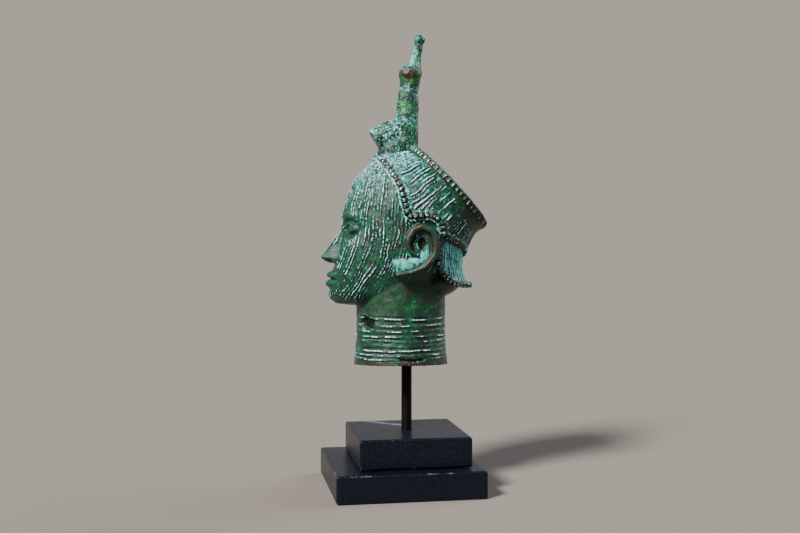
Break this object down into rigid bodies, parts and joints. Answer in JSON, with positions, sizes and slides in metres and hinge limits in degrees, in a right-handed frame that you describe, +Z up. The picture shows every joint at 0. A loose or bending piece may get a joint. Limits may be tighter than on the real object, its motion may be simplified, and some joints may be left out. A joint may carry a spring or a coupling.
{
  "type": "benin bronze head",
  "caption": "Small cast bronze head with a plumed, beaded bonnet, ringed neck and green patina, held by a black rod on a stepped black wooden stand.",
  "frame": {"origin": "middle of the lower block's flat underside", "axes": "+Z up; the stand's front and the face look towards -Y, the face turned 5 degrees on the rod towards -X"},
  "size_m": [0.07, 0.0801, 0.2172],
  "materials": {
    "patinated_bronze": "cast bronze with a painted-looking verdigris patina, pale mint on the ridges and brown where it is rubbed",
    "black_steel": "satin black paint on round bar",
    "black_wood": "black stain with faint grain and a low sheen"
  },
  "bodies": {
    "root": {"head": "patinated_bronze", "rod": "black_steel", "upper_block": "black_wood", "lower_block": "black_wood"}
  },
  "joints": []
}
